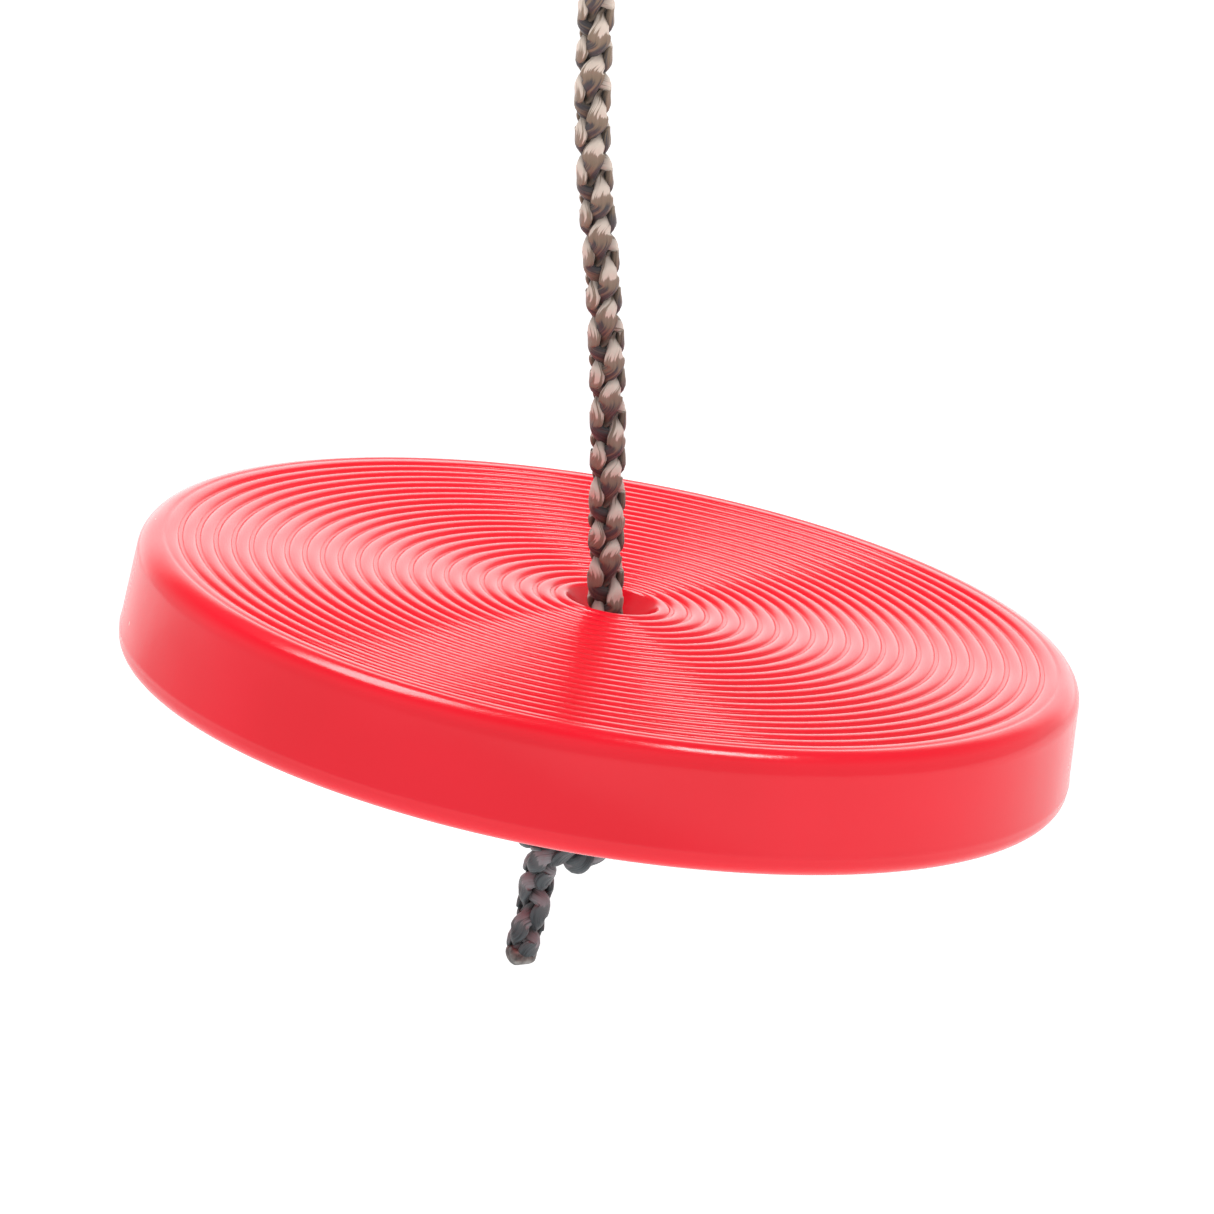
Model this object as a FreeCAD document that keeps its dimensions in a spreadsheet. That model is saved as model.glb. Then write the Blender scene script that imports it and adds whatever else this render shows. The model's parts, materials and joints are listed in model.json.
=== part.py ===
# Disc swing: a round blow-moulded seat on one braided rope, with its knot, eye, snap hook and hanger.
# Frame: millimetres, +Z up, origin at the middle of the ceiling plate's upper face.
import FreeCAD
import Part
import Sketcher
import math
import os
import re
from FreeCAD import Vector

SIZES = {
    # seat
    "seat_radius": (140, "radius of the seat's top face"),
    "seat_thick": (36, "height of the seat"),
    "seat_wall": (3, "wall of the hollow moulding"),
    "side_draft": (1.5, "how much wider the seat is at its base, in radius"),
    "top_round": (7, "radius of the upper rim"),
    "base_round": (4.5, "radius of the lower rim"),
    "groove_first": (17.7, "radius of the first grip groove"),
    "groove_pitch": (5.25, "from one grip groove to the next"),
    "groove_count": (22, "how many grip grooves"),
    "groove_width": (1.6, "width of a groove at the top face"),
    "groove_floor": (0.7, "width of a groove's floor"),
    "groove_depth": (0.9, "depth of a groove"),
    "funnel_radius": (13.9, "lip of the funnel that the rope goes in by"),
    "throat_radius": (6.5, "radius of the rope's hole"),
    "throat_depth": (12, "from the top face to the narrow throat, where the rope bends"),
    "exit_flare": (2.5, "widening of the hole at the underside"),
    "kiss_circle": (86, "radius of the circle of stiffening cones"),
    "kiss_count": (6, "how many stiffening cones rise from the underside"),
    "kiss_base": (15, "outer radius of a cone at the underside"),
    "kiss_tip": (7, "outer radius of a cone at the top wall"),
    "vent_radius": (2.5, "radius of the blow hole"),
    "vent_offset": (45, "from the seat's axis to the blow hole"),
    "seat_tilt": (10.45, "how far the seat hangs from level"),
    # rope
    "rope_radius": (5, "half the rope's diameter"),
    "rope_run": (206, "straight rope from the ferrule to the bend in the seat"),
    "bend_gap": (1.1, "from the bend's centre to each rope end"),
    "knot_radius": (14, "half the knot's width"),
    "knot_neck": (8, "half the knot's width at its two ends"),
    "knot_length": (47.5, "length of the stopper knot"),
    "tail_offset": (7.8, "from the seat's axis to the rope's tail"),
    "tail_length": (32, "tail that shows under the knot"),
    "tail_buried": (12, "tail inside the knot"),
    "contact_gap": (0.3, "air between pieces that only touch"),
    # eye
    "thimble_radius": (11, "inside radius of the thimble's crown"),
    "thimble_wall": (1.5, "thickness of the thimble's channel"),
    "rope_gap": (0.2, "air round the rope in the thimble and the ferrule"),
    "eye_drop": (40, "from the thimble's centre to the ferrule's top"),
    "leg_space": (5.5, "from the eye's middle to each leg, in the ferrule"),
    "leg_bend": (9, "from the ferrule's top to where the lines of the legs part"),
    "ferrule_length": (30, "height of the pressed ferrule"),
    "ferrule_wall": (2.6, "wall round the rope in the ferrule"),
    "leg_buried": (12, "each leg's length inside the ferrule"),
    "rope_buried": (12, "rope's length inside the ferrule's lower end"),
    # snap hook
    "rod_radius": (4, "half the hook's rod"),
    "hook_bend": (12, "radius of the hook's two bends, at the rod's middle"),
    "hook_straight": (52, "length of the hook's straight sides"),
    "gate_inset": (7, "from the end of a straight side to the gate's pin"),
    "tongue_radius": (3.4, "rounding of the tongues that the gate's slots take"),
    "tongue_half": (1.6, "half the thickness of a tongue"),
    "gate_space": (0.4, "air between the gate's lower end and the rod below it"),
    "slot_half": (1.9, "half the width of the gate's slots"),
    "pin_radius": (1.45, "half the gate pins' diameter"),
    "pin_fit": (0.05, "running clearance round a pin, in radius"),
    "pin_half": (3.7, "half the gate pins' length"),
    "notch_half": (2.1, "half the height of the nose's notch"),
    "spring_bore": (2.1, "radius of the bore that holds the gate's spring"),
    "spring_length": (11, "length of the gate's spring"),
    "plunger_length": (4, "length of the plunger under the spring"),
    # hanger
    "plate_length": (110, "length of the ceiling plate"),
    "plate_width": (44, "width of the ceiling plate"),
    "plate_thick": (4, "thickness of the ceiling plate and of the yoke"),
    "plate_corner": (8, "rounding of the plate's corners"),
    "screw_space": (80, "from one screw hole to the other"),
    "screw_radius": (4.5, "radius of a screw hole"),
    "ear_gap": (22, "space between the yoke's ears"),
    "ear_radius": (15, "rounding of an ear about the bolt"),
    "pivot_drop": (27, "from the plate's upper face to the bolt's axis"),
    "bolt_radius": (5, "half the pivot bolt's diameter"),
    "bolt_gap": (0.1, "air round the bolt in the ears, washers and nut"),
    "head_height": (6.4, "height of the bolt's head"),
    "head_flats": (16, "width across the flats of the head and the nut"),
    "head_round": (8.64, "radius that the corners of the bolt's head are turned to"),
    "washer_radius": (10, "outside radius of a washer"),
    "washer_thick": (2, "thickness of a washer"),
    "nut_height": (10, "height of the locking nut"),
    "nut_hex_height": (7.2, "height of the nut's six flats"),
    "nut_collar": (7.2, "radius of the nut's round collar"),
    "bush_radius": (7, "outside radius of a bush"),
    "bush_fit": (0.05, "running clearance between bush and bolt, in radius"),
    "flange_radius": (10, "radius of a bush's flange"),
    "flange_thick": (1.5, "thickness of a bush's flange"),
    "sleeve_radius": (10, "outside radius of the swing eye's sleeve"),
    "sleeve_half": (9, "half the length of the sleeve"),
    "ring_radius": (12, "radius of the swing eye's ring, at its section's middle"),
    "ring_section": (4, "radius of the ring's section"),
    "ring_drop": (23, "from the bolt's axis to the ring's centre"),
    "neck_half": (3.2, "half the thickness of the neck between sleeve and ring"),
    "neck_width": (12, "width of that neck"),
}

doc = FreeCAD.newDocument("disc_swing")
sheet = doc.addObject("Spreadsheet::Sheet", "Sizes")
for row, (alias, (value, meaning)) in enumerate(SIZES.items(), start=1):
    sheet.set(f"A{row}", meaning)
    sheet.set(f"B{row}", str(value))
    sheet.setAlias(f"B{row}", alias)
doc.recompute()

# Levels that follow from the sizes, as expressions.
PIVOT = "-pivot_drop"
RING = f"({PIVOT} - ring_drop)"
ROD_TOP = f"({RING} - ring_radius + ring_section + rod_radius + contact_gap)"
BEND_TOP = f"({ROD_TOP} - hook_bend)"
BEND_LOW = f"({BEND_TOP} - hook_straight)"
ROD_LOW = f"({BEND_LOW} - hook_bend)"
GATE_PIN = f"({BEND_LOW} + gate_inset)"
NOSE_PIN = f"({BEND_TOP} - gate_inset)"
THIMBLE = f"({ROD_LOW} - thimble_radius + rod_radius + contact_gap)"
FERRULE_TOP = f"({THIMBLE} - eye_drop)"
FERRULE_LOW = f"({FERRULE_TOP} - ferrule_length)"
BEND = f"({FERRULE_LOW} - rope_run)"
KNOT_TOP = "(-seat_thick - contact_gap)"
KNOT_LOW = f"({KNOT_TOP} - knot_length)"
HINGE_END = "(tongue_radius + contact_gap)"

NODES = {}
AXIS_X = (0, 1, 0, 90)
AXIS_Y = (1, 0, 0, -90)
UPRIGHT = (0, 0, 1, 0)


def bound(text):
    """The expression text with each size's name written as its cell in the sheet."""
    return re.sub(r"[a-z_]+", lambda m: f"Sizes.{m[0]}" if m[0] in SIZES else m[0], str(text))


def number(text):
    """The value of an expression."""
    return float(sheet.evalExpression(bound(text)))


def bind(item, **values):
    for name, text in values.items():
        item.setExpression(name, bound(text))
    return item


def place(item, x=0, y=0, z=0, turn=UPRIGHT):
    """Binds where an item stands; turn is an axis and an angle."""
    i, j, k, angle = turn
    where = f"vector({x}; {y}; {z}); rotation(vector({i}; {j}; {k}); {angle})"
    item.setExpression("Placement", bound(f"placement({where})"))
    return item


def place_on_seat(item):
    """Stands an item, drawn with the top face at zero, on the tilted seat's axis."""
    sine, cosine = "throat_depth * sin(seat_tilt)", "throat_depth * cos(seat_tilt)"
    return place(item, x=sine, z=f"{BEND} + {cosine}", turn=(0, 1, 0, "seat_tilt"))


def node(item, name):
    """Gives a finished sub-part the label that names its file."""
    item.Label = name
    NODES[name] = item
    return item


def cylinder(name, radius, height, **where):
    item = bind(doc.addObject("Part::Cylinder", name), Radius=radius, Height=height)
    return place(item, **where)


def across(name, radius, half, axis, x=0, y=0, z=0):
    """A cylinder that lies along X or Y, as long on one side of its place as on the other."""
    if axis == "X":
        return cylinder(name, radius, f"2 * {half}", x=f"{x} - {half}", y=y, z=z, turn=AXIS_X)
    return cylinder(name, radius, f"2 * {half}", x=x, y=f"{y} - {half}", z=z, turn=AXIS_Y)


def block(name, low, high):
    """A box from its lowest corner to its highest."""
    spans = [f"({b}) - ({a})" for a, b in zip(low, high)]
    item = bind(doc.addObject("Part::Box", name), Length=spans[0], Width=spans[1], Height=spans[2])
    return place(item, *low)


def fuse(name, items):
    whole = doc.addObject("Part::MultiFuse", name)
    whole.Shapes = items
    whole.Refine = True
    return whole


def cut(name, base, tools):
    left = doc.addObject("Part::Cut", name)
    left.Base = base
    left.Tool = tools[0] if len(tools) == 1 else fuse(f"{name}_tools", tools)
    return left


def group(name, items):
    """Several separate solids that share one node."""
    several = doc.addObject("Part::Compound", name)
    several.Links = items
    return several


def body_of(name):
    return doc.addObject("PartDesign::Body", f"{name}_body")


def sketch_on(body, name, role="XZ_Plane"):
    plane = next(f for f in body.Origin.OriginFeatures if f.Role == role)
    sketch = body.newObject("Sketcher::SketchObject", name)
    sketch.AttachmentSupport = [(plane, "")]
    sketch.MapMode = "FlatFace"
    return sketch


def outline(sketch, corners):
    """Draws a closed outline of straight sides, each corner held by two bound dimensions."""
    points = [Vector(number(x), number(y), 0) for x, y in corners]
    lines = [
        sketch.addGeometry(Part.LineSegment(a, b)) for a, b in zip(points, points[1:] + points[:1])
    ]
    for this, following in zip(lines, lines[1:] + lines[:1]):
        sketch.addConstraint(Sketcher.Constraint("Coincident", this, 2, following, 1))
    for line, point, (x, y) in zip(lines, points, corners):
        for kind, value, text, other_axis in (("DistanceX", point.x, x, -2), ("DistanceY", point.y, y, -1)):
            if text == "0":
                sketch.addConstraint(Sketcher.Constraint("PointOnObject", line, 1, other_axis))
                continue
            index = sketch.addConstraint(Sketcher.Constraint(kind, -1, 1, line, 1, value))
            sketch.setExpression(f"Constraints[{index}]", bound(text))


def turned(body, kind, name, sketch):
    """A full turn of a sketch in the XZ plane about the body's Z axis."""
    feature = body.newObject(kind, name)
    feature.Profile = sketch
    feature.ReferenceAxis = (sketch, ["V_Axis"])
    feature.Angle = 360
    doc.recompute()
    return feature


def rounded(body, name, base, radius, circles):
    """Rounds the circular edges that have the given radius and height."""
    wanted = [(number(r), number(z)) for r, z in circles]
    edges = [
        f"Edge{i}"
        for i, edge in enumerate(base.Shape.Edges, start=1)
        if isinstance(edge.Curve, Part.Circle)
        and any(
            abs(edge.Curve.Radius - r) < 0.01 and abs(edge.Curve.Center.z - z) < 0.01 for r, z in wanted
        )
    ]
    if len(edges) < len(wanted):
        raise ValueError(f"{name}: an edge to round is missing")
    fillet = body.newObject("PartDesign::Fillet", name)
    fillet.Base = (base, edges)
    bind(fillet, Radius=radius)
    doc.recompute()
    return fillet


def tube(name, route, radius):
    """A rope's tube along straight runs joined by tangent arcs; its volume is checked."""
    edges, radii, start = [], [], route[0]
    for before, corner, after in zip(route, route[1:], route[2:]):
        into, out = corner - before, after - corner
        half = into.getAngle(out) / 2
        bend = 0.45 * min(into.Length, out.Length) / math.tan(half)
        back = bend * math.tan(half)
        first = corner - into.normalize() * back
        last = corner + out.normalize() * back
        inward = (out - into).normalize()
        middle = corner + inward * (bend / math.cos(half) - bend)
        edges += [Part.LineSegment(start, first).toShape(), Part.Arc(first, middle, last).toShape()]
        radii.append(round(bend, 1))
        start = last
    edges.append(Part.LineSegment(start, route[-1]).toShape())
    return swept(name, Part.Wire(edges), radius, radii)


def swept(name, path, radius, radii=()):
    """Sweeps a round section along a path that starts in a straight line."""
    first = path.OrderedEdges[0]
    start, onward = first.valueAt(first.FirstParameter), first.tangentAt(first.FirstParameter)
    section = Part.Wire(Part.makeCircle(radius, start, onward))
    solid = path.makePipeShell([section], True, False)
    expected = math.pi * radius**2 * path.Length
    if abs(solid.Volume / expected - 1) > 0.01:
        raise ValueError(f"{name}: the tube's volume is off")
    print(f"{name}: {path.Length:.1f} mm long, arc radii {list(radii)}")
    item = doc.addObject("Part::Feature", name)
    item.Shape = solid
    return item


def make_seat():
    """The hollow disc: grooved top, funnel and throat for the rope, cones from the underside."""
    body = body_of("seat_disc")
    shell = sketch_on(body, "seat_section")
    outline(
        shell,
        [
            ("funnel_radius", "0"),
            ("seat_radius", "0"),
            ("seat_radius + side_draft", "-seat_thick"),
            ("throat_radius + exit_flare", "-seat_thick"),
            ("throat_radius", "-seat_thick + exit_flare"),
            ("throat_radius", "-throat_depth"),
        ],
    )
    whole = turned(body, "PartDesign::Revolution", "seat_blank", shell)
    base_rim = ("seat_radius + side_draft", "-seat_thick")
    whole = rounded(body, "upper_rim", whole, "top_round", [("seat_radius", "0")])
    whole = rounded(body, "lower_rim", whole, "base_round", [base_rim])
    inside = sketch_on(body, "cavity_section")
    outline(
        inside,
        [
            ("funnel_radius + seat_wall / 2", "-seat_wall"),
            ("seat_radius - seat_wall - top_round / 2", "-seat_wall"),
            ("seat_radius - seat_wall", "-seat_wall - top_round / 2"),
            ("seat_radius + side_draft - seat_wall", "-seat_thick + seat_wall + base_round / 2"),
            ("seat_radius + side_draft - seat_wall - base_round / 2", "-seat_thick + seat_wall"),
            ("throat_radius + exit_flare + seat_wall", "-seat_thick + seat_wall"),
            ("throat_radius + seat_wall", "-seat_thick + seat_wall + exit_flare"),
            ("throat_radius + seat_wall", "-throat_depth - seat_wall / 3"),
        ],
    )
    before = whole.Shape.Volume
    hollow = turned(body, "PartDesign::Groove", "cavity", inside)
    if not 0 < hollow.Shape.Volume < before / 2:
        raise ValueError("the cavity does not hollow the seat")
    grooves = sketch_on(body, "groove_sections")
    for i in range(int(number("groove_count"))):
        middle = f"groove_first + {i} * groove_pitch"
        outline(
            grooves,
            [
                (f"{middle} - groove_width / 2", "0"),
                (f"{middle} + groove_width / 2", "0"),
                (f"{middle} + groove_floor / 2", "-groove_depth"),
                (f"{middle} - groove_floor / 2", "-groove_depth"),
            ],
        )
    turned(body, "PartDesign::Groove", "grip_grooves", grooves)
    cone = body.newObject("PartDesign::AdditiveCone", "cone_wall")
    bind(cone, Radius1="kiss_base", Radius2="kiss_tip", Height="seat_thick - seat_wall / 2")
    place(cone, x="kiss_circle", z="-seat_thick")
    pattern_round(body, cone, "cone_walls")
    hole = body.newObject("PartDesign::SubtractiveCone", "cone_hollow")
    bind(
        hole,
        Radius1="kiss_base - seat_wall",
        Radius2="kiss_tip - seat_wall",
        Height="seat_thick - seat_wall",
    )
    place(hole, x="kiss_circle", z="-seat_thick")
    pattern_round(body, hole, "cone_hollows")
    vent = body.newObject("PartDesign::SubtractiveCylinder", "blow_hole")
    bind(vent, Radius="vent_radius", Height="2 * seat_wall")
    place(vent, y="vent_offset", z="-seat_thick - seat_wall / 2")
    doc.recompute()
    return place_on_seat(node(body, "seat_disc"))


def pattern_round(body, feature, name):
    """Repeats a feature round the seat's axis."""
    doc.recompute()
    pattern = body.newObject("PartDesign::PolarPattern", name)
    pattern.Originals = [feature]
    axis = next(f for f in body.Origin.OriginFeatures if f.Role == "Z_Axis")
    pattern.Axis = (axis, [""])
    pattern.Angle = 360
    bind(pattern, Occurrences="kiss_count")
    body.Tip = pattern
    doc.recompute()


def make_rope():
    """The taut rope from the ferrule to the bend, and the rope inside the seat."""
    upper = f"{FERRULE_LOW} + rope_buried"
    lower = f"{BEND} + bend_gap"
    radius = number("rope_radius")
    path = Part.Wire(Part.LineSegment(Vector(0, 0, number(upper)), Vector(0, 0, number(lower))).toShape())
    node(swept("main_rope", path, radius), "main_rope")
    ends = Vector(0, 0, number("-throat_depth - bend_gap")), Vector(0, 0, number(KNOT_TOP))
    core = swept("rope_core", Part.Wire(Part.LineSegment(*ends).toShape()), radius)
    place_on_seat(node(core, "rope_core"))


def make_knot():
    """The outer shape of the stopper knot: a barrel with two flat necks."""
    body = body_of("stopper_knot")
    section = sketch_on(body, "knot_section")
    shoulders = [
        ("knot_radius", f"{KNOT_TOP} - knot_length / 5"),
        ("knot_radius", f"{KNOT_LOW} + knot_length / 4"),
    ]
    upper_neck = [("0", KNOT_TOP), ("knot_neck", KNOT_TOP)]
    lower_neck = [("knot_neck", KNOT_LOW), ("0", KNOT_LOW)]
    outline(section, upper_neck + shoulders + lower_neck)
    barrel = turned(body, "PartDesign::Revolution", "knot_barrel", section)
    rounded(body, "knot_round", barrel, "knot_radius / 2", shoulders)
    place_on_seat(node(body, "stopper_knot"))


def make_tail():
    """The short tail under the knot, bowed a little towards its sealed end."""
    x, top = -number("tail_offset"), number(f"{KNOT_LOW} + tail_buried")
    low = number(f"{KNOT_LOW} - tail_length")
    bow = number("rope_radius") / 10
    third = (top - low) / 3
    route = [
        Vector(x, 0, top),
        Vector(x + bow, 0, top - third),
        Vector(x - bow, 0, low + third),
        Vector(x - bow, 0, low),
    ]
    place_on_seat(node(tube("rope_tail", route, number("rope_radius")), "rope_tail"))


def eye_geometry():
    """Radius of the rope about the thimble, and where each leg leaves that circle."""
    radius = number("thimble_radius + thimble_wall + rope_gap + rope_radius")
    across_eye, down = number("leg_space"), number("eye_drop - leg_bend")
    reach = math.hypot(across_eye, down)
    lean = math.asin(radius / reach) - math.atan2(across_eye, down)
    centre = Vector(0, 0, number(THIMBLE))
    leaving = centre + Vector(0, math.cos(lean), -math.sin(lean)) * radius
    return radius, lean, centre, leaving


def make_eye_rope():
    """The rope's loop round the thimble, both legs ending inside the ferrule."""
    radius, lean, centre, leaving = eye_geometry()
    back = number("leg_bend")
    corner = Vector(0, number("leg_space"), number(FERRULE_TOP) + back)
    end = corner - Vector(0, 0, back + number("leg_buried"))
    along = (leaving - corner).normalize()
    half = lean / 2
    bend = back / math.tan(half)
    low, high = corner - Vector(0, 0, back), corner + along * back
    inward = (Vector(0, 0, -1) + along).normalize()
    middle = corner + inward * (bend / math.cos(half) - bend)
    crown = centre + Vector(0, 0, radius)

    def mirrored(point):
        return Vector(0, -point.y, point.z)

    edges = [
        Part.LineSegment(end, low).toShape(),
        Part.Arc(low, middle, high).toShape(),
        Part.LineSegment(high, leaving).toShape(),
        Part.Arc(leaving, crown, mirrored(leaving)).toShape(),
        Part.LineSegment(mirrored(leaving), mirrored(high)).toShape(),
        Part.Arc(mirrored(high), mirrored(middle), mirrored(low)).toShape(),
        Part.LineSegment(mirrored(low), mirrored(end)).toShape(),
    ]
    rope = swept("eye_rope", Part.Wire(edges), number("rope_radius"), [round(bend, 1), round(radius, 1)])
    node(rope, "eye_rope")


def make_thimble():
    """The galvanised channel that lines the rope's eye."""
    radius, lean, centre, leaving = eye_geometry()
    inner = number("rope_radius + rope_gap")
    outer = inner + number("thimble_wall")
    onward = Vector(0, -math.sin(lean), -math.cos(lean))
    outward = (leaving - centre).normalize()
    side = Vector(1, 0, 0)

    def around(section_radius):
        ends = leaving + side * section_radius, leaving - side * section_radius
        return ends, Part.Arc(ends[0], leaving - outward * section_radius, ends[1]).toShape()

    (right_in, left_in), inside = around(inner)
    (right_out, left_out), outside = around(outer)
    lips = [Part.LineSegment(right_in, right_out).toShape(), Part.LineSegment(left_in, left_out).toShape()]
    section = Part.Face(Part.Wire(Part.sortEdges([inside, outside, *lips])[0]))
    leg_length = (leaving.y - outer - number("contact_gap") * 2) / math.sin(lean)
    leg = section.extrude(onward * leg_length)
    crown = section.revolve(centre, side, 180 + 2 * math.degrees(lean))
    item = doc.addObject("Part::Feature", "eye_thimble")
    item.Shape = crown.fuse([leg, leg.mirror(centre, Vector(0, 1, 0))]).removeSplitter()
    node(item, "eye_thimble")


def make_ferrule():
    """The pressed sleeve: wide round two legs at its top, round about one rope below."""
    body = body_of("eye_ferrule")
    end_radius = "rope_radius + ferrule_wall"
    top = sketch_on(body, "ferrule_top", "XY_Plane")
    pill(top, "leg_space", end_radius)
    bind(top, **{"AttachmentOffset.Base.z": FERRULE_TOP})
    low = sketch_on(body, "ferrule_low", "XY_Plane")
    pill(low, "leg_space / 8", end_radius)
    bind(low, **{"AttachmentOffset.Base.z": FERRULE_LOW})
    doc.recompute()
    loft = body.newObject("PartDesign::AdditiveLoft", "ferrule_blank")
    loft.Profile = top
    loft.Sections = [low]
    doc.recompute()
    legs = sketch_on(body, "leg_hole", "XY_Plane")
    pill(legs, "leg_space", "rope_radius + rope_gap")
    bind(legs, **{"AttachmentOffset.Base.z": FERRULE_TOP})
    doc.recompute()
    before = loft.Shape.Volume
    slot = body.newObject("PartDesign::Pocket", "leg_pocket")
    slot.Profile = legs
    bind(slot, Length="leg_buried")
    doc.recompute()
    hole = body.newObject("PartDesign::SubtractiveCylinder", "rope_hole")
    bind(hole, Radius="rope_radius + rope_gap", Height="rope_buried")
    place(hole, z=FERRULE_LOW)
    doc.recompute()
    if not hole.Shape.Volume < slot.Shape.Volume < before:
        raise ValueError("a hole in the ferrule cuts nothing")
    node(body, "eye_ferrule")


def pill(sketch, half_space, radius):
    """A slot's outline along Y: two half circles joined by two straight sides."""
    reach, r = number(half_space), number(radius)
    top = sketch.addGeometry(
        Part.ArcOfCircle(Part.Circle(Vector(0, reach, 0), Vector(0, 0, 1), r), 0, math.pi)
    )
    low = sketch.addGeometry(
        Part.ArcOfCircle(Part.Circle(Vector(0, -reach, 0), Vector(0, 0, 1), r), math.pi, 2 * math.pi)
    )
    left = sketch.addGeometry(Part.LineSegment(Vector(-r, reach, 0), Vector(-r, -reach, 0)))
    right = sketch.addGeometry(Part.LineSegment(Vector(r, -reach, 0), Vector(r, reach, 0)))
    for a, end, b, start in ((top, 2, left, 1), (left, 2, low, 1), (low, 2, right, 1), (right, 2, top, 1)):
        sketch.addConstraint(Sketcher.Constraint("Tangent", a, end, b, start))
    for arc, sign in ((top, ""), (low, "-")):
        sketch.addConstraint(Sketcher.Constraint("PointOnObject", arc, 3, -2))
        value = -reach if sign else reach
        index = sketch.addConstraint(Sketcher.Constraint("DistanceY", -1, 1, arc, 3, value))
        sketch.setExpression(f"Constraints[{index}]", bound(f"{sign}({half_space})"))
    index = sketch.addConstraint(Sketcher.Constraint("Radius", top, r))
    sketch.setExpression(f"Constraints[{index}]", bound(radius))


def bend_ring(name, z, turn):
    """Half a ring of the hook's rod, in the XZ plane."""
    ring = bind(doc.addObject("Part::Torus", name), Radius1="hook_bend", Radius2="rod_radius")
    ring.Angle3 = 180
    return place(ring, z=z, turn=(1, 0, 0, turn))


def make_hook_body():
    """The bent rod of the snap hook, with a tongue at each side of the gate."""
    tongue = ("hook_bend - tongue_radius", "hook_bend + tongue_radius")
    low_stop = f"{GATE_PIN} - rod_radius - gate_space"
    high_stop = f"{NOSE_PIN} + tongue_radius + 2 * contact_gap"
    rod = fuse(
        "hook_rod",
        [
            bend_ring("upper_bend", BEND_TOP, 90),
            bend_ring("lower_bend", BEND_LOW, -90),
            cylinder("spine", "rod_radius", "hook_straight", x="-hook_bend", z=BEND_LOW),
            cylinder("lower_stub", "rod_radius", f"{low_stop} - {BEND_LOW}", x="hook_bend", z=BEND_LOW),
            cylinder("upper_stub", "rod_radius", f"{BEND_TOP} - ({high_stop})", x="hook_bend", z=high_stop),
            block(
                "hinge_tongue",
                (tongue[0], "-tongue_half", BEND_LOW),
                (tongue[1], "tongue_half", GATE_PIN),
            ),
            across("hinge_knuckle", "tongue_radius", "tongue_half", "Y", x="hook_bend", z=GATE_PIN),
            block(
                "nose_tongue",
                (tongue[0], "-tongue_half", f"{NOSE_PIN} - tongue_radius"),
                (tongue[1], "tongue_half", BEND_TOP),
            ),
        ],
    )
    hole = across("hinge_hole", "pin_radius + pin_fit", "rod_radius", "Y", x="hook_bend", z=GATE_PIN)
    notch = block(
        "nose_notch",
        (f"{tongue[0]} - 1", "-rod_radius", f"{NOSE_PIN} - notch_half"),
        ("hook_bend + pin_radius + contact_gap", "rod_radius", f"{NOSE_PIN} + notch_half"),
    )
    node(cut("hook_body", rod, [hole, notch]), "hook_body")


def make_gate():
    """The hook's gate: a rod slotted at both ends, with its pins, spring and plunger."""
    span = f"{NOSE_PIN} + tongue_radius - {GATE_PIN}"
    end = bind(doc.addObject("Part::Sphere", "gate_end"), Radius="rod_radius")
    place(end, x="hook_bend", z=GATE_PIN)
    rod = cylinder("gate_rod", "rod_radius", span, x="hook_bend", z=GATE_PIN)
    blank = fuse("gate_blank", [rod, end])
    far = ("hook_bend - 2 * rod_radius", "hook_bend + 2 * rod_radius")
    spring_low = f"{GATE_PIN} + {HINGE_END} + plunger_length"
    bore_depth = f"{spring_low} + spring_length - {GATE_PIN}"
    tools = [
        block(
            "hinge_slot",
            (far[0], "-slot_half", f"{GATE_PIN} - 2 * rod_radius"),
            (far[1], "slot_half", f"{GATE_PIN} + {HINGE_END}"),
        ),
        block(
            "nose_slot",
            (far[0], "-slot_half", f"{NOSE_PIN} - tongue_radius - 2 * contact_gap"),
            (far[1], "slot_half", f"{NOSE_PIN} + 2 * rod_radius"),
        ),
        across("hinge_pin_hole", "pin_radius", "2 * rod_radius", "Y", x="hook_bend", z=GATE_PIN),
        across("nose_pin_hole", "pin_radius", "2 * rod_radius", "Y", x="hook_bend", z=NOSE_PIN),
        cylinder("gate_bore", "spring_bore", bore_depth, x="hook_bend", z=GATE_PIN),
    ]
    node(cut("hook_gate", blank, tools), "hook_gate")
    for name, level in (("gate_hinge_pin", GATE_PIN), ("gate_nose_pin", NOSE_PIN)):
        node(across(name, "pin_radius", "pin_half", "Y", x="hook_bend", z=level), name)
    foot = f"{GATE_PIN} + {HINGE_END}"
    plunger = cylinder(
        "gate_plunger", "spring_bore - rope_gap", "plunger_length", x="hook_bend", z=foot
    )
    node(plunger, "gate_plunger")
    where = {"height": "spring_length", "x": "hook_bend", "z": spring_low}
    coil = cylinder("spring_outside", "spring_bore - rope_gap", **where)
    core = cylinder("spring_inside", "spring_bore / 2", **where)
    node(cut("gate_spring", coil, [core]), "gate_spring")


def make_plate():
    """The ceiling plate with its two screw holes."""
    half = ("plate_length / 2", "plate_width / 2")
    inner = ("plate_length / 2 - plate_corner", "plate_width / 2 - plate_corner")
    solids = [
        block("plate_long", (f"-{half[0]}", f"-({inner[1]})", "-plate_thick"), (half[0], inner[1], "0")),
        block("plate_wide", (f"-({inner[0]})", f"-{half[1]}", "-plate_thick"), (inner[0], half[1], "0")),
    ]
    for i, (x, y) in enumerate(((1, 1), (1, -1), (-1, 1), (-1, -1))):
        where = {"x": f"{x} * ({inner[0]})", "y": f"{y} * ({inner[1]})", "z": "-plate_thick"}
        solids.append(cylinder(f"plate_corner_{i}", "plate_corner", "plate_thick", **where))
    through = {"height": "3 * plate_thick", "z": "-2 * plate_thick"}
    holes = [
        cylinder(f"screw_hole_{i}", "screw_radius", x=f"{i} * screw_space / 2", **through)
        for i in (-1, 1)
    ]
    node(cut("ceiling_plate", fuse("plate_blank", solids), holes), "ceiling_plate")


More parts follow.
